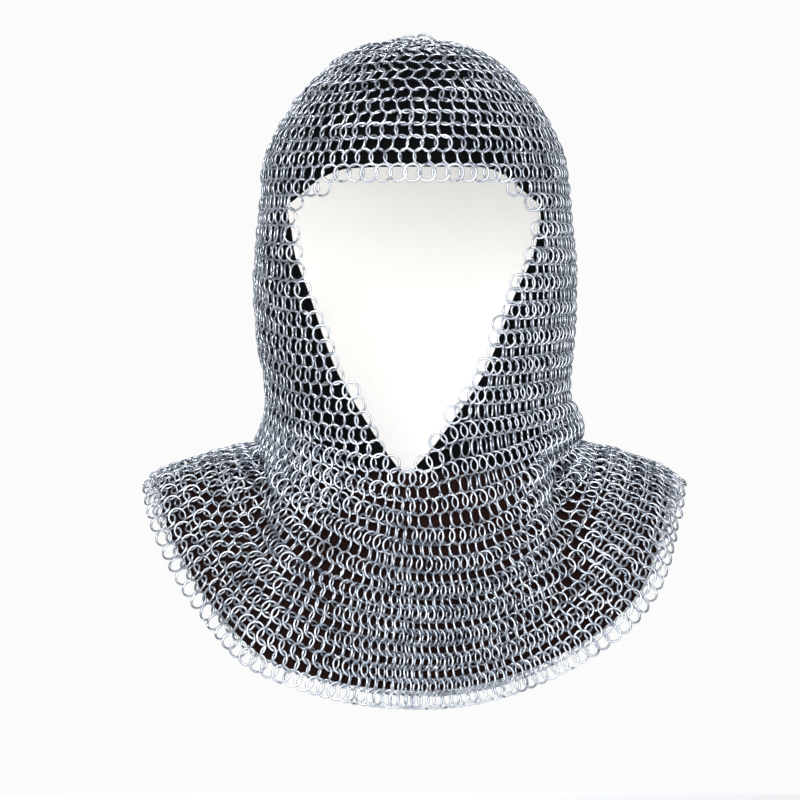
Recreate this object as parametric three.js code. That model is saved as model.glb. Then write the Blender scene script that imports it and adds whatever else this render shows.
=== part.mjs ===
// A chainmail coif: a hood of linked steel rings with a pointed face opening and a shoulder cape.
// It keeps the hollow form that it has when it is worn. Each area of mail is one closed wall.
// +Z is up, the face opening looks along -Y, and +X is the viewer's right.
// The origin is where the top of a head touches the inside of the crown.
import * as THREE from "three";

// Driving dimensions, in millimetres unless the name says otherwise.
const WALL = 4.5; // rings lean against each other, and thin cloth lies behind them
const CROWN_RISE = 4.0; // outer surface of the crown above the origin
const SEAM_GAP = 0.3; // between two neighbouring areas
const TIGHT_ROW_PITCH = 5.5; // rows of rings lie closest over the shoulder
const DOME_ROWS = 17; // rows from the middle of the crown to the brow
const DOME = { halfWidth: 103.5, front: 112.5, back: 124.5, height: 103 };
const SOFT_CREST = 0.6; // see the table of sections
const NECK_ROW = 37; // where hood and cape are linked, level with the point of the V
const HEM_ROW = 53.6; // the lower ends of the last row's rings
const CROWN_COLUMNS = 72; // columns of the crown's grid
const SIDE_DEG = 90; // the line from ear to shoulder
const BACK_DEG = 180;
const HEM_CENTRE_DEG = -2.5; // the ridge under the V ends a little to the viewer's left
const QUARTER_COLUMNS = 18; // columns of each cheek and of the cape's quarter under it

// Level sections below the dome. row: rows counted from the middle of the crown. halfWidth, front
// and back: how far the outer surface lies from the middle. sideZ, frontZ and backZ: the section's
// height over the ear line, in front and behind. crest: how softly it turns over the shoulder.
const SECTIONS = [
  { row: 19, halfWidth: 105.5, front: 112.5, back: 124, sideZ: -118, frontZ: -118, backZ: -118, crest: 0.6 },
  { row: 23, halfWidth: 108.2, front: 112, back: 122, sideZ: -153, frontZ: -155, backZ: -155, crest: 0.6 },
  { row: 28, halfWidth: 107, front: 110, back: 118, sideZ: -195, frontZ: -203, backZ: -199, crest: 0.6 },
  { row: 33, halfWidth: 103.5, front: 106, back: 112, sideZ: -238, frontZ: -250, backZ: -243, crest: 0.5 },
  { row: 37, halfWidth: 107, front: 105, back: 110, sideZ: -267, frontZ: -289, backZ: -278, crest: 0.4 },
  { row: 40, halfWidth: 116, front: 109, back: 118, sideZ: -270, frontZ: -317, backZ: -303, crest: 0.28 },
  { row: 44, halfWidth: 133, front: 117, back: 130, sideZ: -274, frontZ: -355, backZ: -334, crest: 0.2 },
  { row: 48, halfWidth: 155, front: 126, back: 140, sideZ: -281, frontZ: -391, backZ: -364, crest: 0.13 },
  { row: 51, halfWidth: 171, front: 133, back: 146, sideZ: -287, frontZ: -418, backZ: -386, crest: 0.1 },
  { row: 53.6, halfWidth: 182, front: 138, back: 150, sideZ: -295, frontZ: -443, backZ: -405, crest: 0.08 },
];

// The face opening. row: rows from the middle of the crown. left and right: how far its two edges
// lie from the middle plane, seen from the front.
const OPENING = [
  { row: 18.2, left: -82, right: 79 },
  { row: 20, left: -77, right: 78 },
  { row: 22, left: -74, right: 74 },
  { row: 25, left: -63, right: 60 },
  { row: 28, left: -53, right: 49 },
  { row: 31, left: -41, right: 36 },
  { row: 34, left: -24, right: 16 },
  { row: 36.4, left: -9, right: -2 },
  { row: 37, left: -6, right: -6 },
];
const BROW_ROW = 16.85; // the brow edge in the middle
const BROW_CORNER_DEG = 48; // where the brow edge meets the edges of the face opening
const CHEEK_ROW = 18.2; // where crown, cheeks and nape are linked

// The largest folds. deg: where round the head, from the front and positive to the viewer's right.
// slant: how many degrees it moves on with each row. wideDeg: half of its width. out: how far it
// stands out, negative for a crease. drop: how much lower the net hangs there. from and to: the
// rows between which it fades in and out.
const FOLDS = [
  { name: "roll of the right neck", deg: 92, slant: 0, wideDeg: 26, out: 8, drop: 0, from: 32.5, to: 39 },
  { name: "crease right of neck", deg: 66, slant: -2.2, wideDeg: 8, out: -10, drop: 0, from: 37, to: 50 },
  { name: "curtain before crease", deg: 48, slant: -1.8, wideDeg: 9, out: 5, drop: 0, from: 36, to: 50 },
  { name: "shoulder behind crease", deg: 80, slant: -0.8, wideDeg: 10, out: 4, drop: 0, from: 42, to: 54 },
  { name: "crease left of neck", deg: -76, slant: 3.2, wideDeg: 9, out: -8, drop: 0, from: 37, to: 47 },
  { name: "hollow under the left ear", deg: -88, slant: 0, wideDeg: 22, out: -3, drop: 0, from: 29, to: 37 },
  { name: "bay in the left hem", deg: -66, slant: 0, wideDeg: 8, out: -6, drop: 0, from: 44, to: 62 },
  { name: "crease in the left hem", deg: -52, slant: 0, wideDeg: 8, out: -4, drop: 0, from: 43, to: 62 },
  { name: "wave of the left hem", deg: -36, slant: 0, wideDeg: 11, out: 9, drop: 6, from: 42, to: 62 },
  { name: "wave of the right hem", deg: 56, slant: 0, wideDeg: 18, out: 10, drop: 9, from: 42, to: 62 },
  { name: "right breast hollow", deg: 27, slant: 0, wideDeg: 9, out: -4, drop: 0, from: 42, to: 62 },
  { name: "left breast hollow", deg: -20, slant: 0, wideDeg: 8, out: -4, drop: 0, from: 40, to: 62 },
  { name: "ridge under the V", deg: -3, slant: 0, wideDeg: 7, out: 5, drop: 0, from: 34, to: 60 },
  { name: "back fold left", deg: -130, slant: 0, wideDeg: 12, out: -7, drop: 0, from: 35, to: 60 },
  { name: "back fold middle left", deg: -160, slant: 0, wideDeg: 10, out: 4, drop: 0, from: 40, to: 62 },
  { name: "back fold middle", deg: 178, slant: 0, wideDeg: 11, out: -5, drop: 0, from: 36, to: 62 },
  { name: "back fold right", deg: 150, slant: 0, wideDeg: 12, out: 5, drop: 0, from: 38, to: 60 },
  { name: "back crease right", deg: 124, slant: 0, wideDeg: 11, out: -8, drop: 0, from: 34, to: 56 },
  { name: "flat left temple", deg: -90, slant: 0, wideDeg: 34, out: -3, drop: 0, from: 5, to: 15 },
  { name: "flat right temple", deg: 90, slant: 0, wideDeg: 34, out: -2, drop: 0, from: 6, to: 15 },
  { name: "dent above the left brow", deg: -40, slant: 0, wideDeg: 18, out: -2.5, drop: 0, from: 5, to: 17 },
  { name: "dent behind the crown", deg: 150, slant: 0, wideDeg: 26, out: -3, drop: 0, from: 4, to: 18 },
];

const RADIANS = Math.PI / 180;
const STEEL = { color: 0xb9bfc6, roughness: 0.38, metalness: 0.95 };

// The dome's sections as rows of the same table, so that one curve runs from crown to hem.
function domeSections() {
  const made = [];
  for (let row = 0; row <= DOME_ROWS; row += 1) {
    const angle = ((row / DOME_ROWS) * Math.PI) / 2;
    const z = CROWN_RISE - DOME.height * (1 - Math.cos(angle));
    const grown = Math.sin(angle);
    made.push({
      row,
      halfWidth: DOME.halfWidth * grown,
      front: DOME.front * grown,
      back: DOME.back * grown,
      sideZ: z,
      frontZ: z,
      backZ: z,
      crest: SOFT_CREST,
    });
  }
  return made;
}
const PROFILE = [...domeSections(), ...SECTIONS];

// A smooth curve through one column of a table, read at a row.
function read(table, column, row) {
  const last = table.length - 1;
  let i = 0;
  while (i < last - 1 && row > table[i + 1].row) i += 1;
  const slope = (k) => {
    const a = table[Math.max(k - 1, 0)];
    const b = table[Math.min(k + 1, last)];
    return (b[column] - a[column]) / (b.row - a.row);
  };
  const here = table[i];
  const next = table[i + 1];
  const span = next.row - here.row;
  const t = (row - here.row) / span;
  const rise = t * t * (3 - 2 * t);
  const leave = t * (1 - t) * (1 - t) * span * slope(i);
  const arrive = t * t * (t - 1) * span * slope(i + 1);
  return here[column] + (next[column] - here[column]) * rise + leave + arrive;
}

function smoothStep(from, to, value) {
  const t = Math.min(Math.max((value - from) / (to - from), 0), 1);
  return t * t * (3 - 2 * t);
}

// The angle between two directions round the head.
function degBetween(deg, other) {
  const turn = Math.abs(deg - other) % 360;
  return Math.min(turn, 360 - turn);
}

// What all folds together add to one place: column "out" or column "drop" of their table.
function allFolds(column, row, deg) {
  const FADE_ROWS = 3;
  let sum = 0;
  for (const fold of FOLDS) {
    const middle = fold.deg + fold.slant * (row - fold.from);
    const turn = degBetween(deg, middle) / fold.wideDeg;
    const fadeIn = smoothStep(fold.from, fold.from + FADE_ROWS, row);
    const fadeOut = 1 - smoothStep(fold.to - FADE_ROWS, fold.to, row);
    sum += fold[column] * Math.exp(-turn * turn) * fadeIn * fadeOut;
  }
  return sum;
}

// The smooth form without folds.
function smoothPoint(row, deg) {
  const sine = Math.sin(deg * RADIANS);
  const cosine = Math.cos(deg * RADIANS);
  const depth = cosine > 0 ? read(PROFILE, "front", row) : read(PROFILE, "back", row);
  const endZ = cosine > 0 ? read(PROFILE, "frontZ", row) : read(PROFILE, "backZ", row);
  const sideZ = read(PROFILE, "sideZ", row);
  const crest = read(PROFILE, "crest", row);
  const fall = (Math.hypot(cosine, crest) - crest) / (Math.hypot(1, crest) - crest);
  const x = read(PROFILE, "halfWidth", row) * sine;
  return new THREE.Vector3(x, -depth * cosine, sideZ + (endZ - sideZ) * fall);
}

// The direction out of a surface, from a step up and down the rows and one round the head.
function outOf(surface, row, deg, rowStep, stepDown = rowStep) {
  const DEG_STEP = 0.5;
  const FIRST_ROW = 0.02;
  const POLE_ROW = 0.5;
  const up = Math.max(row - rowStep, FIRST_ROW);
  const down = surface(row + stepDown, deg).sub(surface(up, deg));
  const awayFromPole = Math.max(row, POLE_ROW);
  const round = surface(awayFromPole, deg + DEG_STEP).sub(surface(awayFromPole, deg - DEG_STEP));
  return down.cross(round).normalize();
}

// Folds stand out along a direction that turns slowly over the shoulder, so that none overhangs.
function outerPoint(row, deg) {
  const FOLD_ROWS = 3;
  const out = outOf(smoothPoint, row, deg, FOLD_ROWS, Math.min(FOLD_ROWS, HEM_ROW - row));
  const point = smoothPoint(row, deg).addScaledVector(out, allFolds("out", row, deg));
  point.z -= allFolds("drop", row, deg);
  return point;
}

function innerPoint(row, deg) {
  const NEAR_ROWS = 1.0;
  return outerPoint(row, deg).addScaledVector(outOf(outerPoint, row, deg, NEAR_ROWS), -WALL);
}

// One area of mail as a closed wall. at(across, down) gives the row and the angle of a grid point,
// with across and down running from 0 to 1. A wall that goes all round meets itself and has a pole.
function mailWall(name, across, down, at, allRound = false) {
  const points = [];
  const faces = [];
  const columns = allRound ? across : across + 1;
  const firstLevel = allRound ? 1 : 0;
  const index = (side, i, j) => {
    const column = allRound ? i % across : i;
    return side * columns * (down + 1 - firstLevel) + (j - firstLevel) * columns + column;
  };
  for (const place of [outerPoint, innerPoint]) {
    for (let j = firstLevel; j <= down; j += 1) {
      for (let i = 0; i < columns; i += 1) {
        const [row, deg] = at(i / across, j / down);
        points.push(place(row, deg));
      }
    }
  }
  const quad = (a, b, c, d) => faces.push(a, b, c, a, c, d);
  for (let j = firstLevel; j < down; j += 1) {
    for (let i = 0; i < across; i += 1) {
      quad(index(0, i, j), index(0, i, j + 1), index(0, i + 1, j + 1), index(0, i + 1, j));
      quad(index(1, i, j), index(1, i + 1, j), index(1, i + 1, j + 1), index(1, i, j + 1));
    }
  }
  for (let i = 0; i < across; i += 1) {
    quad(index(0, i, down), index(1, i, down), index(1, i + 1, down), index(0, i + 1, down));
    if (!allRound) quad(index(0, i + 1, 0), index(1, i + 1, 0), index(1, i, 0), index(0, i, 0));
  }
  if (allRound) {
    const outerPole = points.length;
    points.push(outerPoint(0, 0), innerPoint(0, 0));
    for (let i = 0; i < across; i += 1) {
      faces.push(outerPole, index(0, i, 1), index(0, i + 1, 1));
      faces.push(outerPole + 1, index(1, i + 1, 1), index(1, i, 1));
    }
  } else {
    for (let j = 0; j < down; j += 1) {
      quad(index(0, 0, j), index(1, 0, j), index(1, 0, j + 1), index(0, 0, j + 1));
      quad(index(0, across, j + 1), index(1, across, j + 1), index(1, across, j), index(0, across, j));
    }
  }
  const geometry = new THREE.BufferGeometry();
  geometry.setAttribute(
    "position",
    new THREE.Float32BufferAttribute(points.flatMap((p) => p.toArray()), 3),
  );
  geometry.setIndex(faces);
  geometry.computeVertexNormals();
  const mesh = new THREE.Mesh(geometry, new THREE.MeshStandardMaterial(STEEL));
  mesh.name = name;
  return mesh;
}

const HALF_GAP_ROWS = SEAM_GAP / 2 / TIGHT_ROW_PITCH;

// Half a seam gap as an angle, on a section of the coif.
function halfGapDeg(row) {
  return SEAM_GAP / 2 / read(PROFILE, "front", row) / RADIANS;
}

// The lower boundary of the crown: the brow edge in front, and the link to cheeks and nape.
function crownEndRow(deg) {
  const toCorner = Math.min(Math.abs(deg) / BROW_CORNER_DEG, 1);
  return BROW_ROW + (CHEEK_ROW - HALF_GAP_ROWS - BROW_ROW) * toCorner * toCorner;
}

function crown() {
  const LEVELS = 12;
  return mailWall("crown", CROWN_COLUMNS, LEVELS, (u, v) => {
    const deg = 360 * u - 180;
    return [crownEndRow(deg) * v, deg];
  }, true);
}

// The angle at which the face opening ends on one side.
function openingDeg(row, side) {
  const x = read(OPENING, side < 0 ? "left" : "right", row);
  return Math.asin(x / read(PROFILE, "halfWidth", row)) / RADIANS;
}

function cheek(name, side) {
  const LEVELS = 15;
  return mailWall(name, QUARTER_COLUMNS, LEVELS, (u, v) => {
    const row = THREE.MathUtils.lerp(CHEEK_ROW + HALF_GAP_ROWS, NECK_ROW - HALF_GAP_ROWS, v);
    const gap = halfGapDeg(row);
    const edge = openingDeg(row, side) + side * gap;
    const ear = side * (SIDE_DEG - gap);
    const deg = side < 0 ? THREE.MathUtils.lerp(ear, edge, u) : THREE.MathUtils.lerp(edge, ear, u);
    return [row, deg];
  });
}

// An area between two angles and two rows, with half a seam gap taken off each linked side.
function panel(name, columns, levels, fromRow, toRow, fromDeg, toDeg) {
  return mailWall(name, columns, levels, (u, v) => {
    const row = THREE.MathUtils.lerp(fromRow, toRow, v);
    const gap = halfGapDeg(row);
    return [row, THREE.MathUtils.lerp(fromDeg(v) + gap, toDeg(v) - gap, u)];
  });
}

function nape() {
  const LEVELS = 15;
  const top = CHEEK_ROW + HALF_GAP_ROWS;
  const bottom = NECK_ROW - HALF_GAP_ROWS;
  const from = () => SIDE_DEG;
  const to = () => 360 - SIDE_DEG;
  return panel("nape", 2 * QUARTER_COLUMNS, LEVELS, top, bottom, from, to);
}

function mantle() {
  const LEVELS = 12;
  const ridge = (v) => THREE.MathUtils.lerp(openingDeg(NECK_ROW, -1), HEM_CENTRE_DEG, v);
  const quarters = [
    { name: "mantle_front_left", from: () => -SIDE_DEG, to: ridge },
    { name: "mantle_front_right", from: ridge, to: () => SIDE_DEG },
    { name: "mantle_back_right", from: () => SIDE_DEG, to: () => BACK_DEG },
    { name: "mantle_back_left", from: () => -BACK_DEG, to: () => -SIDE_DEG },
  ];
  return quarters.map((q) =>
    panel(q.name, QUARTER_COLUMNS, LEVELS, NECK_ROW + HALF_GAP_ROWS, HEM_ROW, q.from, q.to),
  );
}

const coif = new THREE.Group();
coif.add(crown(), cheek("cheek_left", -1), cheek("cheek_right", 1), nape(), ...mantle());

export default coif;
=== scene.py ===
# %% [markdown]
# A chainmail coif: a hood with a pointed face opening that runs out into a cape over the shoulders.
# It is shown as it hangs when it is worn, with nothing inside it.
# The real one is steel rings with a thin cloth behind them. Each ring passes through four others,
# two in the row above and two in the row below, and that pattern is all that holds the mail together.
# So this lesson makes real rings: it works out where each ring of each row hangs, how far it leans,
# and then joins the rings of one area into one mesh. The rings follow that pattern only nearly: about
# six in ten pass through exactly four others, and almost all cut into a neighbour by a part of the
# wire, which doesn't show at this size.
# The model's frame is loaded first. It gives one plain wall for each area of mail.

# %% Load the frame
import math

import bpy
import numpy as np
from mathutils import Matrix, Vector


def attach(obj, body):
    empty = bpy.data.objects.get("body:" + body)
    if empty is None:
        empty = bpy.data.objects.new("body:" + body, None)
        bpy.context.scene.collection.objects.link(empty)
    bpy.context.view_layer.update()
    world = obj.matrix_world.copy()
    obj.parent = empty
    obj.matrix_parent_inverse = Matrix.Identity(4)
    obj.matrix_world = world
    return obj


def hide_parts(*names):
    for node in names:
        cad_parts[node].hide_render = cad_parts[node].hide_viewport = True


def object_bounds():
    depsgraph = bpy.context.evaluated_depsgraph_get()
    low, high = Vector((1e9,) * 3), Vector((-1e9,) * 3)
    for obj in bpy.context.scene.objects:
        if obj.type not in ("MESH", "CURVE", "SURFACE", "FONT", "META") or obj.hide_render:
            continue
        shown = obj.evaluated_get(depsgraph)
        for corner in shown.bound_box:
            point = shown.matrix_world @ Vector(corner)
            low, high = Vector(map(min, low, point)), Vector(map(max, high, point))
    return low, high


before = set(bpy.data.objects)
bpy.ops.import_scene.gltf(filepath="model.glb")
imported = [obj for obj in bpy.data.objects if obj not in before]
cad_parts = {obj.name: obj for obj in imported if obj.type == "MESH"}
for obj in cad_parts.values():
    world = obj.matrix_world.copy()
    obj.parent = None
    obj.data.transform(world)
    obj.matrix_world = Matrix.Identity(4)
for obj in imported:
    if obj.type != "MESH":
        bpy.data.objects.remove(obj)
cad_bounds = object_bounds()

MM = 0.001
CAD_NODES = sorted(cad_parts)
print("walls to dress:", ", ".join(CAD_NODES))

# %% [markdown]
# The form comes first. A maker fits mail on a body and lets its weight settle it, and a simulation
# of thousands of linked rings would take hours. The settled form is a smooth one, though, so it can
# be written down: level sections from the top of the head to the hem, and a list of folds.
# These are the same sections as those of the walls, in millimetres. Rows of rings are counted down
# from the middle of the crown, and angles run round the head from the face, in degrees.

# %% Sections of the coif
DOME_ROWS = 17
DOME = {"half_width": 103.5, "front": 112.5, "back": 124.5, "height": 103}
CROWN_RISE = 4.0
SOFT_CREST = 0.6
FIRST_ROW = 0.02
BROW_ROW = 16.85
BROW_CORNER_DEG = 48
CHEEK_ROW = 18.2
NECK_ROW = 37
HEM_ROW = 53.6

SECTION_COLUMNS = ("row", "half_width", "front", "back", "side_z", "front_z", "back_z", "crest")
SECTIONS = [
    (19, 105.5, 112.5, 124, -118, -118, -118, 0.6),
    (23, 108.2, 112, 122, -153, -155, -155, 0.6),
    (28, 107, 110, 118, -195, -203, -199, 0.6),
    (33, 103.5, 106, 112, -238, -250, -243, 0.5),
    (37, 107, 105, 110, -267, -289, -278, 0.4),
    (40, 116, 109, 118, -270, -317, -303, 0.28),
    (44, 133, 117, 130, -274, -355, -334, 0.2),
    (48, 155, 126, 140, -281, -391, -364, 0.13),
    (51, 171, 133, 146, -287, -418, -386, 0.1),
    (53.6, 182, 138, 150, -295, -443, -405, 0.08),
]


def dome_section(row):
    angle = row / DOME_ROWS * math.pi / 2
    z = CROWN_RISE - DOME["height"] * (1 - math.cos(angle))
    grown = math.sin(angle)
    widths = (DOME["half_width"] * grown, DOME["front"] * grown, DOME["back"] * grown)
    return (row, *widths, z, z, z, SOFT_CREST)


PROFILE = np.array([dome_section(row) for row in range(DOME_ROWS + 1)] + SECTIONS)
print("sections from crown to hem:", len(PROFILE))

# %% Folds and the face opening
# Each fold: its angle at its first row and how far that moves on with each row, how many degrees to
# either side it takes to sink to about a third, how far it stands out and hangs down in millimetres,
# and the rows where it begins and ends.
FOLDS = [
    (92, 0, 26, 8, 0, 32.5, 39),  # roll of the right neck
    (66, -2.2, 8, -10, 0, 37, 50),  # crease right of the neck
    (48, -1.8, 9, 5, 0, 36, 50),  # curtain before the crease
    (80, -0.8, 10, 4, 0, 42, 54),  # shoulder behind the crease
    (-76, 3.2, 9, -8, 0, 37, 47),  # crease left of the neck
    (-88, 0, 22, -3, 0, 29, 37),  # hollow under the left ear
    (-66, 0, 8, -6, 0, 44, 62),  # bay in the left hem
    (-52, 0, 8, -4, 0, 43, 62),  # crease in the left hem
    (-36, 0, 11, 9, 6, 42, 62),  # wave of the left hem
    (56, 0, 18, 10, 9, 42, 62),  # wave of the right hem
    (27, 0, 9, -4, 0, 42, 62),  # right breast hollow
    (-20, 0, 8, -4, 0, 40, 62),  # left breast hollow
    (-3, 0, 7, 5, 0, 34, 60),  # ridge under the V
    (-130, 0, 12, -7, 0, 35, 60),  # back fold left
    (-160, 0, 10, 4, 0, 40, 62),  # back fold middle left
    (178, 0, 11, -5, 0, 36, 62),  # back fold middle
    (150, 0, 12, 5, 0, 38, 60),  # back fold right
    (124, 0, 11, -8, 0, 34, 56),  # back crease right
    (-90, 0, 34, -3, 0, 5, 15),  # flat left temple
    (90, 0, 34, -2, 0, 6, 15),  # flat right temple
    (-40, 0, 18, -2.5, 0, 5, 17),  # dent above the left brow
    (150, 0, 26, -3, 0, 4, 18),  # dent behind the crown
]
OPENING_COLUMNS = ("row", "left", "right")
OPENING = np.array([
    (18.2, -82, 79),
    (20, -77, 78),
    (22, -74, 74),
    (25, -63, 60),
    (28, -53, 49),
    (31, -41, 36),
    (34, -24, 16),
    (36.4, -9, -2),
    (37, -6, -6),
])


def read(table, columns, column, rows):
    """A smooth curve through one column of a table, read at many rows."""
    at = table[:, 0]
    values = table[:, columns.index(column)]
    slopes = np.gradient(values)
    steps = np.gradient(at)
    slopes = slopes / steps
    i = np.clip(np.searchsorted(at, rows) - 1, 0, len(at) - 2)
    span = at[i + 1] - at[i]
    t = (rows - at[i]) / span
    rise = t * t * (3 - 2 * t)
    leave = t * (1 - t) * (1 - t) * span * slopes[i]
    arrive = t * t * (t - 1) * span * slopes[i + 1]
    return values[i] + (values[i + 1] - values[i]) * rise + leave + arrive


def smooth_step(low, high, value):
    t = np.clip((value - low) / (high - low), 0, 1)
    return t * t * (3 - 2 * t)


def all_folds(rows, degs):
    """What all folds together add to each place: how far out and how far down."""
    fade_rows = 3
    height = np.zeros(np.shape(rows))
    fall = np.zeros(np.shape(rows))
    for deg, slant, wide_deg, out, drop, from_row, to_row in FOLDS:
        middle = deg + slant * (rows - from_row)
        turn = ((degs - middle + 180) % 360 - 180) / wide_deg
        fade_in = smooth_step(from_row, from_row + fade_rows, rows)
        fade_out = 1 - smooth_step(to_row - fade_rows, to_row, rows)
        share = np.exp(-turn * turn) * fade_in * fade_out
        height = height + out * share
        fall = fall + drop * share
    return height, fall


def smooth_point(rows, degs):
    sine = np.sin(np.radians(degs))
    cosine = np.cos(np.radians(degs))
    ahead = cosine > 0
    values = {c: read(PROFILE, SECTION_COLUMNS, c, rows) for c in SECTION_COLUMNS[1:]}
    depth = np.where(ahead, values["front"], values["back"])
    end_z = np.where(ahead, values["front_z"], values["back_z"])
    crest = values["crest"]
    fall = (np.hypot(cosine, crest) - crest) / (np.hypot(1, crest) - crest)
    z = values["side_z"] + (end_z - values["side_z"]) * fall
    return np.stack([values["half_width"] * sine, -depth * cosine, z], axis=-1)


def unit(vectors):
    return vectors / np.linalg.norm(vectors, axis=-1, keepdims=True)


def down_and_round(surface, rows, degs, step_up, step_down):
    """The directions down the rows and round the head, both along the surface."""
    deg_step = 0.5
    pole_row = 0.5
    low = np.maximum(rows - step_up, FIRST_ROW)
    away = np.maximum(rows, pole_row)
    down = surface(rows + step_down, degs) - surface(low, degs)
    round_head = surface(away, degs + deg_step) - surface(away, degs - deg_step)
    return unit(down), unit(round_head)


def outer_point(rows, degs):
    fold_rows = 3.0
    to_hem = np.clip(HEM_ROW - rows, 0, fold_rows)
    out = unit(np.cross(*down_and_round(smooth_point, rows, degs, fold_rows, to_hem)))
    height, fall = all_folds(rows, degs)
    place = smooth_point(rows, degs) + out * height[..., None]
    place[..., 2] -= fall
    return place


def directions(rows, degs):
    """Down, round and out at a place of the finished surface, at right angles to each other."""
    near_rows = 0.5
    down, round_head = down_and_round(outer_point, rows, degs, near_rows, near_rows)
    out = unit(np.cross(down, round_head))
    return down, unit(np.cross(out, down)), out


sample = outer_point(np.array([0.0, 17.0, 37.0, 53.6]), np.zeros(4))
print("front line from crown to hem, mm:", np.round(sample, 1).tolist())

# %% [markdown]
# A ring is a short piece of round wire: the maker winds a coil on a rod, cuts it along its length
# and closes each turn with pliers until the ends butt. The inside of the ring is as wide as the rod.
# The size of the rings and the thickness of the wire decide how the whole coif moves and shines.
# Rings could be copied with an array or instances. Here their points are worked out in one go with
# arrays of numbers, because every ring has a direction of its own.

# %% The ring
RING_INSIDE = 10.0
WIRE = 1.6
RING_RADIUS = (RING_INSIDE + WIRE) / 2
BUTT_GAP = 0.25
RING_STEPS = 14
WIRE_SIDES = 6
STEEL_G_PER_MM3 = 0.00785


def ring_template():
    """Points and faces of one butted ring, flat in the plane of its first two axes."""
    half_gap = BUTT_GAP / 2 / RING_RADIUS
    angles = np.linspace(half_gap, 2 * math.pi - half_gap, RING_STEPS + 1)
    turns = np.arange(WIRE_SIDES) * 2 * math.pi / WIRE_SIDES
    around, across = np.meshgrid(angles, turns, indexing="ij")
    radius = RING_RADIUS + WIRE / 2 * np.cos(across)
    height = WIRE / 2 * np.sin(across)
    points = np.stack([radius * np.cos(around), radius * np.sin(around), height], axis=-1)
    faces = []
    for i in range(RING_STEPS):
        for j in range(WIRE_SIDES):
            k = (j + 1) % WIRE_SIDES
            a = i * WIRE_SIDES
            b = a + WIRE_SIDES
            faces.append((a + j, b + j, b + k, a + k))
    return points.reshape(-1, 3), np.array(faces)


RING_POINTS, RING_FACES = ring_template()
START_CAP = tuple(range(WIRE_SIDES))
END_CAP = tuple(RING_STEPS * WIRE_SIDES + j for j in reversed(range(WIRE_SIDES)))
ring_mass_g = 2 * math.pi ** 2 * RING_RADIUS * (WIRE / 2) ** 2 * STEEL_G_PER_MM3
print("ring", RING_INSIDE, "mm inside,", WIRE, "mm wire, about", round(ring_mass_g, 2), "g")

# %% [markdown]
# Next come the rows. Mail has no grid cut into it: the rings of a row hang in the gaps between the
# rings of the row above. Where the form widens, the maker hangs an extra ring, an expansion, on a
# ring that already holds two. How wide each row is pulled changes over the coif: under the chin the
# rings close up like a curtain, and over the shoulders they are drawn open.
# The lattice is grown row by row in the same way: each row starts in the gaps of the last one, and
# where the rings would get too far apart an expansion is added. Then all rings are relaxed, so that
# the strain of each expansion spreads over its neighbours.

# %% How far apart the rings of a row hang
SPACING_DEGS = (-180, -90, -55, -30, 0, 30, 55, 90, 180)
SPACING_ROWS = (0, 8, 17, 21, 28, 34, 37, 41, 46, 54)
SPACING = np.array([
    (9.6, 9.6, 9.6, 9.6, 9.6, 9.6, 9.6, 9.6, 9.6),
    (9.0, 9.2, 9.6, 9.8, 9.8, 9.6, 9.2, 8.8, 9.0),
    (8.2, 9.2, 10.2, 10.2, 10.0, 9.2, 8.2, 7.8, 8.2),
    (8.0, 9.6, 10.6, 10.4, 9.6, 8.0, 7.6, 7.6, 8.0),
    (7.8, 9.8, 10.8, 10.4, 9.4, 7.4, 7.4, 7.6, 7.8),
    (7.6, 9.6, 10.4, 10.2, 9.0, 7.0, 7.2, 7.6, 7.6),
    (7.6, 9.2, 10.0, 9.4, 7.8, 6.8, 7.2, 7.6, 7.6),
    (7.8, 9.4, 9.6, 7.4, 5.6, 6.2, 7.8, 8.6, 7.8),
    (8.4, 10.2, 10.6, 7.4, 5.2, 6.4, 9.0, 9.6, 8.4),
    (9.4, 11.4, 12.4, 8.6, 5.0, 7.4, 11.6, 10.6, 9.4),
])
TABLE_DEGS = np.arange(-180, 181, 2.0)


def wanted_spacing(row):
    here = [np.interp(row, SPACING_ROWS, column) for column in SPACING.T]
    return np.interp(TABLE_DEGS, SPACING_DEGS, here)


def counting_curve(row):
    """How many rings hang between the nape's middle and each angle of one row."""
    points = outer_point(np.full(len(TABLE_DEGS), float(row)), TABLE_DEGS)
    length = np.linalg.norm(np.diff(points, axis=0), axis=1)
    spacing = wanted_spacing(row)
    rings = length / ((spacing[1:] + spacing[:-1]) / 2)
    return np.concatenate([[0], np.cumsum(rings)])


LAST_ROW = 53
CURVES = [counting_curve(row) for row in range(LAST_ROW + 1)]
print("rings a row at the brow, neck and hem:", [round(CURVES[r][-1]) for r in (17, 37, 53)])

# %% Hang the rows
rng = np.random.default_rng(11)


def count_at(row, degs):
    """The counting curve at any angle. A full turn adds a full row of rings."""
    turns = np.floor((degs + 180) / 360)
    return np.interp(degs - 360 * turns, TABLE_DEGS, CURVES[row]) + turns * CURVES[row][-1]


def deg_at(row, counts):
    turns = np.floor(counts / CURVES[row][-1])
    return np.interp(counts - turns * CURVES[row][-1], CURVES[row], TABLE_DEGS) + 360 * turns


def hang_row(row, above):
    """Angles of a new row and, for each ring, the two rings above that hold it."""
    total = len(above)
    degs = []
    holders = []
    spare = rng.uniform(-0.3, 0.3)
    for i in range(total):
        here = above[i]
        after = above[i + 1] if i + 1 < total else above[0] + 360
        if spare >= 0.5:
            degs.append(here)
            holders.append((i, i))
            spare -= 1
        degs.append((here + after) / 2)
        holders.append((i, (i + 1) % total))
        spare += count_at(row, np.array(after)) - count_at(row, np.array(here)) - 1
    return np.array(degs), np.array(holders)


FIRST_RINGS = 7
row_degs = {1: -180 + 360 / FIRST_RINGS * (np.arange(FIRST_RINGS) + 0.5)}
row_holders = {}
for row in range(2, LAST_ROW + 1):
    row_degs[row], row_holders[row] = hang_row(row, row_degs[row - 1])
print("rings hung:", sum(len(d) for d in row_degs.values()))

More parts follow.
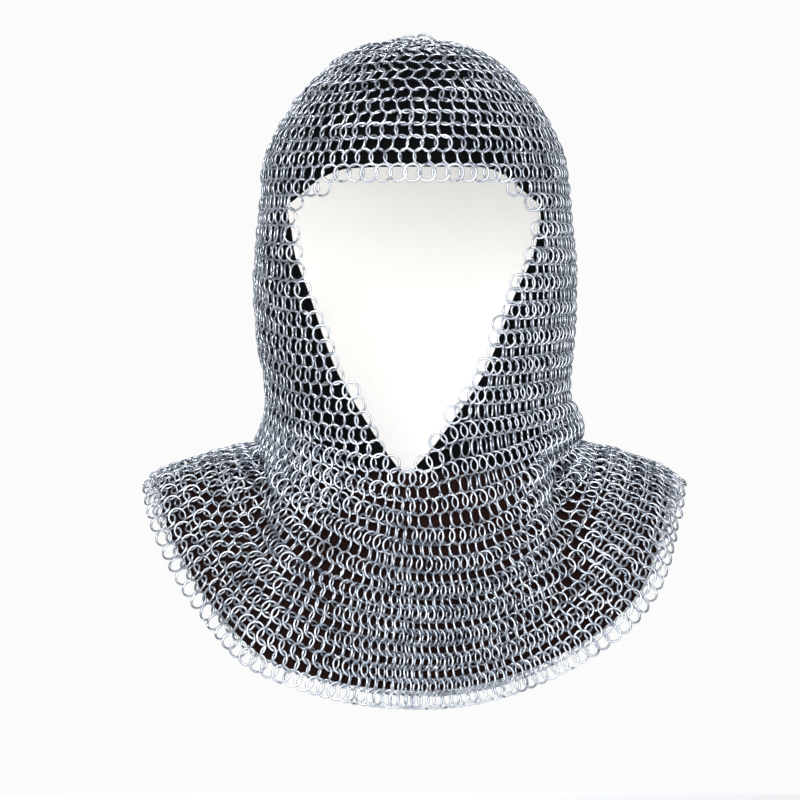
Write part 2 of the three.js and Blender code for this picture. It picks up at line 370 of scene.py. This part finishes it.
# %% Relax the rows
RELAX_PASSES = 60
EVENNESS = 1.5


def near(degs, others):
    """The same angles as others, given within half a turn of degs."""
    return degs + (others - degs + 180) % 360 - 180


def relax(row):
    """Each ring moves between its neighbours, its holders, and its share of an evenly hung row."""
    degs = row_degs[row]
    counts = count_at(row, degs)
    full = CURVES[row][-1]
    left = np.roll(counts, 1)
    left[0] -= full
    right = np.roll(counts, -1)
    right[-1] += full
    even = np.arange(len(degs)) * full / len(degs)
    even = even + (counts - even).mean()
    pull = (left + right) / 2 + EVENNESS * even
    weight = np.full(len(degs), 1 + EVENNESS)
    if row in row_holders:
        a, b = row_holders[row].T
        above = (near(degs, row_degs[row - 1][a]) + near(degs, row_degs[row - 1][b])) / 2
        pull = pull + count_at(row, above)
        weight = weight + 1
    if row + 1 in row_holders:
        a, b = row_holders[row + 1].T
        total = np.zeros(len(degs))
        number = np.zeros(len(degs))
        for holder in (a, b):
            below = near(degs[holder], row_degs[row + 1])
            np.add.at(total, holder, below)
            np.add.at(number, holder, 1)
        pull = pull + count_at(row, total / number)
        weight = weight + 1
    return deg_at(row, pull / weight)


for _ in range(RELAX_PASSES):
    for row in range(2, LAST_ROW + 1):
        row_degs[row] = relax(row)
print("ring spacing at the neck, degrees:", np.round(np.diff(row_degs[NECK_ROW])[:5], 2).tolist())

# %% Let the rows sag on the left cheek and bunch up at the neck
SAG_ROWS = 1.7
SAG_FROM_DEG = -112
SAG_TO_DEG = -48
SAG_PAST_DEG = 20
RIDGE_ROWS = 1.3
RIDGE_DEGS = (-58, -5, 22, 58)
RIDGE_SHARES = (-0.9, 1, 1.3, 0)
BUNCH_ROWS = 1.3
BUNCH_ROW = 42
BUNCH_DEG = 88
BUNCH_WIDE_DEG = 28
# The rows over which the bunching, the sag and the dip to the ridge come in and go out.
BUNCH_ROW_STEPS = (NECK_ROW - 3, BUNCH_ROW, HEM_ROW)
SAG_IN = (CHEEK_ROW, CHEEK_ROW + 6)
SAG_OUT = (NECK_ROW - 5, NECK_ROW + 4)
RIDGE_ROW_STEPS = (NECK_ROW - 4, NECK_ROW + 3, NECK_ROW + 6, HEM_ROW)


def hung_row(row, degs):
    """Where a row hangs: the left cheek's rows sink towards the face, and the cape's rows sink
    towards the ridge, drawn down by the point of the V. At the sides the cape's rows slide up into
    the crease of the neck, and those near the hem spread out."""
    signed = (degs + 180) % 360 - 180
    beside = np.exp(-(((np.abs(signed) - BUNCH_DEG) / BUNCH_WIDE_DEG) ** 2))
    bunch = np.interp(row, BUNCH_ROW_STEPS, (0, BUNCH_ROWS, 0))
    across = smooth_step(SAG_FROM_DEG, SAG_TO_DEG, signed) * (1 - smooth_step(0, SAG_PAST_DEG, signed))
    down = smooth_step(*SAG_IN, row) * (1 - smooth_step(*SAG_OUT, row))
    to_ridge = np.interp(signed, RIDGE_DEGS, RIDGE_SHARES)
    under_v = np.interp(row, RIDGE_ROW_STEPS, (0, 1, 1, 0))
    sunk = SAG_ROWS * across * down + RIDGE_ROWS * to_ridge * under_v
    return row + sunk - bunch * beside


print("sag at the left edge, rows:", round(float(hung_row(26, np.array(-50.0)) - 26), 2))

# %% [markdown]
# The face opening isn't cut either: the maker leaves those rings out. Every second row then ends in
# a ring that hangs out on its own, which gives the face its knobbly edge. A ring that would hang on
# fewer than two others is taken off.

# %% Leave the face open
EDGE_CLEAR = 5.0
RING_REACH_ROWS = 0.65


def in_opening(row, degs):
    if row < DOME_ROWS:
        return np.zeros(len(degs), bool)
    signed = (degs + 180) % 360 - 180
    if row <= CHEEK_ROW:
        reach = (row + RING_REACH_ROWS - BROW_ROW) / (CHEEK_ROW - BROW_ROW)
        return np.abs(signed) < BROW_CORNER_DEG * math.sqrt(min(reach, 1))
    if row >= NECK_ROW:
        return np.zeros(len(degs), bool)
    rows = hung_row(row, degs)
    x = outer_point(rows, degs)[:, 0]
    ends = [read(OPENING, OPENING_COLUMNS, side, rows) for side in ("left", "right")]
    clear = (x > ends[0] - EDGE_CLEAR) & (x < ends[1] + EDGE_CLEAR)
    return clear & (np.abs(signed) < 90)


kept = {row: ~in_opening(row, degs) for row, degs in row_degs.items()}


def links(row):
    """How many kept rings each ring of a row passes through."""
    number = np.zeros(len(row_degs[row]))
    if row in row_holders:
        for holder in row_holders[row].T:
            number += kept[row - 1][holder]
    if row + 1 in row_holders:
        for holder in row_holders[row + 1].T:
            np.add.at(number, holder, kept[row + 1].astype(float))
    return number


for _ in range(3):
    for row in row_degs:
        kept[row] &= (links(row) >= 2) | (row == 1)
print("rings kept:", int(sum(k.sum() for k in kept.values())))

# %% [markdown]
# All rings of a row lean the same way, and those of the next row the other way. That is what lets
# four rings share one hole. The closer the rings of a row hang, the more each one has to stand up:
# drawn wide they lie nearly flat, closed up they stand at more than forty degrees.
# No ring in real mail is exactly where its neighbour's pattern puts it, so each one gets a small
# turn of its own. Rings on a free edge have less to hold them and turn more, and the few rings that
# the crown starts from are pulled flat.

# %% Lean of the rings
LEAN_SPACING = 9.0
FLATTEST = 0.96
STEEPEST = 0.68
RING_DEPTH = 2.4
TURN_DEG = 3.5
EDGE_TURN_DEG = 7.0
EDGE_LEAN = 0.15
FIRST_ROWS = 5
FIRST_LEAN = 0.35
EDGE_OUT = 1.5
TIP_SHARE = 0.6
SHINGLE_FADE = 1.5
STEEPEST_TIP_SINE = 0.5
FACE_VIEWER = np.array([0.0, -1.0, 0.0])
OPENING_CENTRE = np.array([0.0, -110.0, -160.0])


def shingle(rows, degs):
    """How far rings tip over each other where the rows lie closer than half a ring."""
    step = outer_point(rows + 0.5, degs) - outer_point(np.maximum(rows - 0.5, FIRST_ROW), degs)
    pitch = np.maximum(np.linalg.norm(step, axis=-1), WIRE)
    overlap = smooth_step(0, SHINGLE_FADE, RING_RADIUS + WIRE / 2 - pitch)
    return overlap * np.arcsin(np.minimum(WIRE / (2 * pitch), STEEPEST_TIP_SINE))


def toward_opening(centre):
    """Directions across the face opening, in which its outermost rings lie over."""
    flat = (OPENING_CENTRE - centre) * np.array([1.0, 0.0, 1.0])
    return unit(flat)


def ring_frames(row):
    """Centres and the three axes of the kept rings of one row, in millimetres."""
    degs = row_degs[row]
    rows = hung_row(float(row), degs)
    down, round_head, out = directions(rows, degs)
    centre = outer_point(rows, degs) - out * RING_DEPTH
    gap = np.linalg.norm(np.roll(centre, -1, axis=0) - centre, axis=1)
    spacing = (gap + np.roll(gap, 1)) / 2
    lean = np.arccos(np.clip(spacing / LEAN_SPACING, STEEPEST, FLATTEST))
    lean = lean * np.interp(row, (1, FIRST_ROWS), (FIRST_LEAN, 1))
    on_edge = links(row) < 4
    by_face = on_edge & (row < HEM_ROW - 2)
    centre = centre + np.where(by_face, EDGE_OUT, 0)[:, None] * (out + toward_opening(centre))
    out = np.where(by_face[:, None], unit(out + FACE_VIEWER), out)
    lean = np.where(on_edge, lean * EDGE_LEAN, lean) * (1 if row % 2 else -1)
    spread = np.radians(np.where(on_edge, EDGE_TURN_DEG, TURN_DEG))
    lean = lean + rng.normal(0, 1, len(degs)) * spread
    tip = rng.normal(0, 1, len(degs)) * spread * TIP_SHARE - shingle(rows, degs)
    normal = out * np.cos(lean)[:, None] + round_head * np.sin(lean)[:, None]
    normal = unit(normal + down * np.sin(tip)[:, None])
    first = unit(np.cross(down, normal))
    second = np.cross(normal, first)
    start = rng.uniform(0, 2 * math.pi, len(degs))[:, None]
    across = first * np.cos(start) + second * np.sin(start)
    along = np.cross(normal, across)
    return [part[kept[row]] for part in (centre, across, along, normal, degs, spacing)]


def area_of(row, degs):
    """The node that each ring of a row belongs to."""
    signed = (degs + 180) % 360 - 180
    if row <= CHEEK_ROW:
        return np.full(len(degs), "crown", dtype=object)
    side = np.where(signed < 0, "left", "right").astype(object)
    ahead = np.abs(signed) < 90
    if row <= NECK_ROW:
        return np.where(ahead, "cheek_" + side, "nape")
    return np.where(ahead, "mantle_front_" + side, "mantle_back_" + side)


rings = {node: [] for node in CAD_NODES}
for row in row_degs:
    frames = ring_frames(row)
    area = area_of(row, frames[4])
    for node in set(area):
        chosen = area == node
        rings[node].append((row, [part[chosen] for part in frames]))
for node in CAD_NODES:
    print(node, "rings:", sum(len(parts[0]) for _, parts in rings[node]))

# %% [markdown]
# The wire is mild steel with a bright zinc plating, drawn round, so it is smooth but not polished
# like a mirror: the eye sees sharp white glints, cool grey beside them, and dull spots where the
# plating has rubbed against the next ring. Metal has no colour under its shine, so the colour goes
# into the metallic base, and the shader keeps its default index of refraction.

# %% Colours and nodes


def srgb(hex_value):
    """A colour written as a web colour, turned to the linear values that the shader wants."""
    channels = [int(hex_value[i:i + 2], 16) / 255 for i in (1, 3, 5)]
    linear = [c / 12.92 if c <= 0.04045 else ((c + 0.055) / 1.055) ** 2.4 for c in channels]
    return (*linear, 1.0)


def add_node(tree, kind, settings=None, **inputs):
    """Adds a node. settings are its own properties, inputs are values or sockets to link."""
    node = tree.nodes.new(kind)
    for name, value in (settings or {}).items():
        setattr(node, name, value)
    for name, value in inputs.items():
        socket = node.inputs[name.replace("_", " ")]
        if isinstance(value, bpy.types.NodeSocket):
            tree.links.new(value, socket)
        else:
            socket.default_value = value
    return node


def empty_material(name):
    material = bpy.data.materials.new(name)
    material.use_nodes = True
    material.node_tree.nodes.clear()
    return material, material.node_tree


# %% Zinc-plated steel wire
WIRE_TONES = ((0.36, "#a8aeb8"), (0.64, "#d3d8df"))
SCUFF_RANGE = (0.3, 0.7)
WIRE_ROUGHNESS = (0.25, 0.38)


def zinc_plated_wire():
    material, tree = empty_material("zinc_plated_steel_wire")
    place = add_node(tree, "ShaderNodeTexCoord").outputs["Object"]
    per_metre = 1000 / (RING_INSIDE + 2 * WIRE)
    ring_tone = add_node(tree, "ShaderNodeTexNoise", Vector=place, Scale=per_metre, Detail=2.0)
    scuffs = add_node(tree, "ShaderNodeTexNoise", Vector=place, Scale=1000 / WIRE, Detail=3.0)
    colour = add_node(tree, "ShaderNodeValToRGB", Fac=ring_tone.outputs["Fac"])
    for stop, (position, tone) in zip(colour.color_ramp.elements, WIRE_TONES):
        stop.position = position
        stop.color = srgb(tone)
    rough = add_node(tree, "ShaderNodeMapRange", Value=scuffs.outputs["Fac"])
    rough.inputs["From Min"].default_value = SCUFF_RANGE[0]
    rough.inputs["From Max"].default_value = SCUFF_RANGE[1]
    rough.inputs["To Min"].default_value = WIRE_ROUGHNESS[0]
    rough.inputs["To Max"].default_value = WIRE_ROUGHNESS[1]
    bump = add_node(tree, "ShaderNodeBump", Height=scuffs.outputs["Fac"], Strength=0.08, Distance=0.05 * MM)
    shader = add_node(
        tree,
        "ShaderNodeBsdfPrincipled",
        Base_Color=colour.outputs["Color"],
        Metallic=1.0,
        Roughness=rough.outputs["Result"],
        Normal=bump.outputs["Normal"],
    )
    add_node(tree, "ShaderNodeOutputMaterial", Surface=shader.outputs["BSDF"])
    return material


wire_material = zinc_plated_wire()
print("material:", wire_material.name)

# %% [markdown]
# Now the rings of each area are laid in place. One mesh for an area keeps the scene light, and the
# rings stay separate closed bodies inside it, as they are in the real thing.


def mail_mesh(name, centre, across, along, normal):
    """One mesh of many rings, each turned into its own three axes."""
    number = len(centre)
    axes = np.stack([across, along, normal], axis=1)
    points = np.einsum("pk,nkx->npx", RING_POINTS, axes) + centre[:, None, :]
    shift = np.arange(number)[:, None, None] * len(RING_POINTS)
    walls = (RING_FACES[None] + shift).reshape(-1, 4).tolist()
    caps = [[v + i * len(RING_POINTS) for v in cap] for i in range(number) for cap in (START_CAP, END_CAP)]
    mesh = bpy.data.meshes.new(name)
    mesh.from_pydata((points.reshape(-1, 3) * MM).tolist(), [], walls + caps)
    mesh.shade_smooth()
    mesh.update()
    piece = bpy.data.objects.new(name, mesh)
    bpy.context.scene.collection.objects.link(piece)
    return piece


def declare_mail(piece, node):
    """Rides on the root and stands for its wall."""
    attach(piece, "root")
    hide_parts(node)


for node in CAD_NODES:
    parts = [np.concatenate([part[k] for _, part in rings[node]]) for k in range(4)]
    mail = mail_mesh("mail_" + node, *parts)
    mail.data.materials.append(wire_material)
    declare_mail(mail, node)

# %% [markdown]
# Behind the mail lies a thin dark cloth: every gap between the rings is dark, and only the outermost
# rings stand clear of it, at the brow, round the face and along the hem. It is a plain lining, cut as
# two halves that meet at the middle of the front and of the back. Its outside is black in the hood
# and brown in the cape. Its inside is taken as undyed, because the photograph shows the face opening
# white. Whether the real one is light inside can't be seen.
# It is modelled as shells on the same form, deep enough to lie behind the rings. A real maker would
# cut it from flat cloth with darts, and no dart shows through the rings.

# %% Lining cloth
LINING_DEPTH = 8.2
LINING_THICK = 0.9
RIM_DEG = 50
THREADS_PER_METRE = 1800
PATCHES_PER_METRE = 14
# The sockets of a mix node that carry its two colours and the mixed one.
FIRST_COLOUR = 6
SECOND_COLOUR = 7
MIXED_COLOUR = 2


def lining_cloth(name, dark, light):
    material, tree = empty_material(name)
    place = add_node(tree, "ShaderNodeTexCoord").outputs["Object"]
    patches = add_node(tree, "ShaderNodeTexNoise", Vector=place, Scale=PATCHES_PER_METRE, Detail=3.0)
    threads = add_node(tree, "ShaderNodeTexNoise", Vector=place, Scale=THREADS_PER_METRE / 2, Detail=1.0)
    colour = add_node(tree, "ShaderNodeMix", {"data_type": "RGBA"}, Factor=patches.outputs["Fac"])
    colour.inputs[FIRST_COLOUR].default_value = srgb(dark)
    colour.inputs[SECOND_COLOUR].default_value = srgb(light)
    bump = add_node(tree, "ShaderNodeBump", Height=threads.outputs["Fac"], Strength=0.3, Distance=0.2 * MM)
    shader = add_node(
        tree,
        "ShaderNodeBsdfPrincipled",
        Base_Color=colour.outputs[MIXED_COLOUR],
        Roughness=0.95,
        Normal=bump.outputs["Normal"],
    )
    shader.inputs["Specular IOR Level"].default_value = 0.1
    add_node(tree, "ShaderNodeOutputMaterial", Surface=shader.outputs["BSDF"])
    return material


hood_cloth = lining_cloth("black_cotton_lining", "#040405", "#0c0c0e")
undyed_cloth = lining_cloth("undyed_cotton_lining", "#f6f5f3", "#fdfcfa")
cape_cloth = lining_cloth("brown_cotton_lining", "#1a0f0e", "#2a1714")


def deeper(rows, degs, depth):
    return outer_point(rows, degs) - directions(rows, degs)[2] * depth


def lining(name, outside, inside, columns, levels, place_of):
    """A thin closed shell over a grid of places; place_of gives rows and degrees."""
    u, v = np.meshgrid(np.linspace(0, 1, columns + 1), np.linspace(0, 1, levels + 1))
    rows, degs = place_of(u, v)
    front = deeper(rows, degs, LINING_DEPTH)
    back = deeper(rows, degs, LINING_DEPTH + LINING_THICK)
    points = np.concatenate([front.reshape(-1, 3), back.reshape(-1, 3)]) * MM
    wide = columns + 1
    behind = wide * (levels + 1)
    outer = [j * wide + i for j in range(levels) for i in range(columns)]
    faces = [(a, a + wide, a + wide + 1, a + 1) for a in outer]
    faces += [(behind + a, behind + a + 1, behind + a + wide + 1, behind + a + wide) for a in outer]
    top = list(range(wide))
    right = [j * wide + columns for j in range(levels + 1)]
    bottom = [levels * wide + i for i in reversed(range(wide))]
    left = [j * wide for j in reversed(range(levels + 1))]
    rim = top + right[1:] + bottom[1:] + left[1:-1]
    for k, here in enumerate(rim):
        after = rim[(k + 1) % len(rim)]
        faces.append((here, after, behind + after, behind + here))
    mesh = bpy.data.meshes.new(name)
    mesh.from_pydata(points.tolist(), [], faces)
    mesh.shade_smooth()
    mesh.set_sharp_from_angle(angle=math.radians(RIM_DEG))
    mesh.materials.append(outside)
    mesh.materials.append(inside)
    for k in range(len(outer), 2 * len(outer)):
        mesh.polygons[k].material_index = 1
    piece = bpy.data.objects.new(name, mesh)
    bpy.context.scene.collection.objects.link(piece)
    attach(piece, "root")
    return piece


BACK_DEG = 180
LINING_SHORT_ROWS = 1.25
SHORT_OF_FACE = 12.5
LINING_TOP_ROW = 0.05
LINING_CORNER_FROM_DEG = 28
LINING_CORNER_TO_DEG = 66
TIP_FROM_ROW = 30
SHORT_OF_TIP = 6.0
CROWN_GRID = (64, 24)
SIDE_GRID = (56, 30)
CAPE_GRID = (72, 24)


def half_turn(side, near_middle, u):
    """Angles from the middle of the front to that of the back, always counted to the right."""
    far = side * BACK_DEG
    return near_middle + (far - near_middle) * u if side > 0 else far + (near_middle - far) * u


def crown_lining(side):
    def place(u, v):
        degs = half_turn(side, 0, u)
        corner = smooth_step(LINING_CORNER_FROM_DEG, LINING_CORNER_TO_DEG, np.abs(degs))
        last = BROW_ROW - LINING_SHORT_ROWS + (CHEEK_ROW - BROW_ROW + LINING_SHORT_ROWS) * corner
        return LINING_TOP_ROW + (last - LINING_TOP_ROW) * v, degs
    return place


def side_lining(side):
    def place(u, v):
        rows = CHEEK_ROW + (NECK_ROW - CHEEK_ROW) * v
        short = np.interp(rows, (TIP_FROM_ROW, NECK_ROW), (SHORT_OF_FACE, SHORT_OF_TIP))
        x = read(OPENING, OPENING_COLUMNS, "left" if side < 0 else "right", rows) + side * short
        edge = np.degrees(np.arcsin(x / read(PROFILE, SECTION_COLUMNS, "half_width", rows)))
        return rows, half_turn(side, edge, u)
    return place


def cape_lining(side):
    def place(u, v):
        degs = half_turn(side, 0, u)
        return NECK_ROW + (HEM_ROW - LINING_SHORT_ROWS - NECK_ROW) * v, degs
    return place


for side, word in ((-1, "left"), (1, "right")):
    lining("lining_crown_" + word, hood_cloth, undyed_cloth, *CROWN_GRID, crown_lining(side))
    lining("lining_side_" + word, hood_cloth, undyed_cloth, *SIDE_GRID, side_lining(side))
    lining("lining_cape_" + word, cape_cloth, undyed_cloth, *CAPE_GRID, cape_lining(side))

# %% [markdown]
# A plain pale floor under the hem and soft light: two large lamps in front, a small one above, one
# behind, and a grey room. Bright wire shows what stands around it, so the room is darker than the
# backdrop that the camera sees.

# %% Floor, light and room
BACKDROP = "#fbfbfb"
FLOOR_DROP = 0.12
FLOOR_RADIUS = 1.1
FLOOR_CORNERS = 96
LAMP_AIM = np.array([0, 0, -0.22])


def floor():
    low = cad_bounds[0][2] - FLOOR_DROP
    bpy.ops.mesh.primitive_circle_add(vertices=FLOOR_CORNERS, radius=FLOOR_RADIUS, fill_type="NGON")
    disc = bpy.context.object
    disc.name = "floor"
    disc.location = (0, 0, low)
    material, tree = empty_material("pale_floor")
    shader = add_node(tree, "ShaderNodeBsdfPrincipled", Base_Color=srgb("#f4f4f4"), Roughness=0.9)
    add_node(tree, "ShaderNodeOutputMaterial", Surface=shader.outputs["BSDF"])
    disc.data.materials.append(material)


def room():
    world = bpy.data.worlds.new("studio")
    bpy.context.scene.world = world
    world.use_nodes = True
    tree = world.node_tree
    tree.nodes.clear()
    seen = add_node(tree, "ShaderNodeBackground", Color=srgb(BACKDROP), Strength=1.0)
    around = add_node(tree, "ShaderNodeBackground", Color=srgb("#a9aeb6"), Strength=0.58)
    path = add_node(tree, "ShaderNodeLightPath")
    mix = add_node(tree, "ShaderNodeMixShader", Fac=path.outputs["Is Camera Ray"])
    tree.links.new(around.outputs[0], mix.inputs[1])
    tree.links.new(seen.outputs[0], mix.inputs[2])
    add_node(tree, "ShaderNodeOutputWorld", Surface=mix.outputs[0])


def lamp(name, place, size, power):
    data = bpy.data.lights.new(name, "AREA")
    data.shape = "SQUARE"
    data.size = size
    data.energy = power
    light = bpy.data.objects.new(name, data)
    light.location = place
    x, y, z = LAMP_AIM - np.array(place)
    light.rotation_euler = (math.atan2(math.hypot(x, y), -z), 0, math.atan2(y, x) - math.pi / 2)
    bpy.context.scene.collection.objects.link(light)


floor()
room()
lamp("key_light", (-0.7, -1.9, 0.5), 1.7, 48)
lamp("fill_light", (1.0, -1.9, -0.4), 1.7, 34)
lamp("top_light", (0.1, -0.4, 1.4), 0.9, 8)
lamp("back_light", (-0.5, 1.8, 0.5), 1.5, 26)

# %% [markdown]
# The photograph shows the coif from straight in front, from far off. The picture is 539 mm wide at
# the coif, and its middle lies a little left of the coif's middle plane.

# %% Camera
CAMERA_AWAY = 5.0
PHOTO_WIDTH = 0.5392
PHOTO_CENTRE = (-0.0094, -0.241)
SENSOR = 36.0
SEEN_TO = 50


def camera():
    data = bpy.data.cameras.new("camera")
    data.sensor_width = SENSOR
    data.lens = SENSOR * CAMERA_AWAY / PHOTO_WIDTH
    data.clip_end = SEEN_TO
    eye = bpy.data.objects.new("camera", data)
    eye.location = (PHOTO_CENTRE[0], -CAMERA_AWAY, PHOTO_CENTRE[1])
    eye.rotation_euler = (math.pi / 2, 0, 0)
    bpy.context.scene.collection.objects.link(eye)
    bpy.context.scene.camera = eye


camera()
bpy.context.scene.view_settings.view_transform = "Standard"
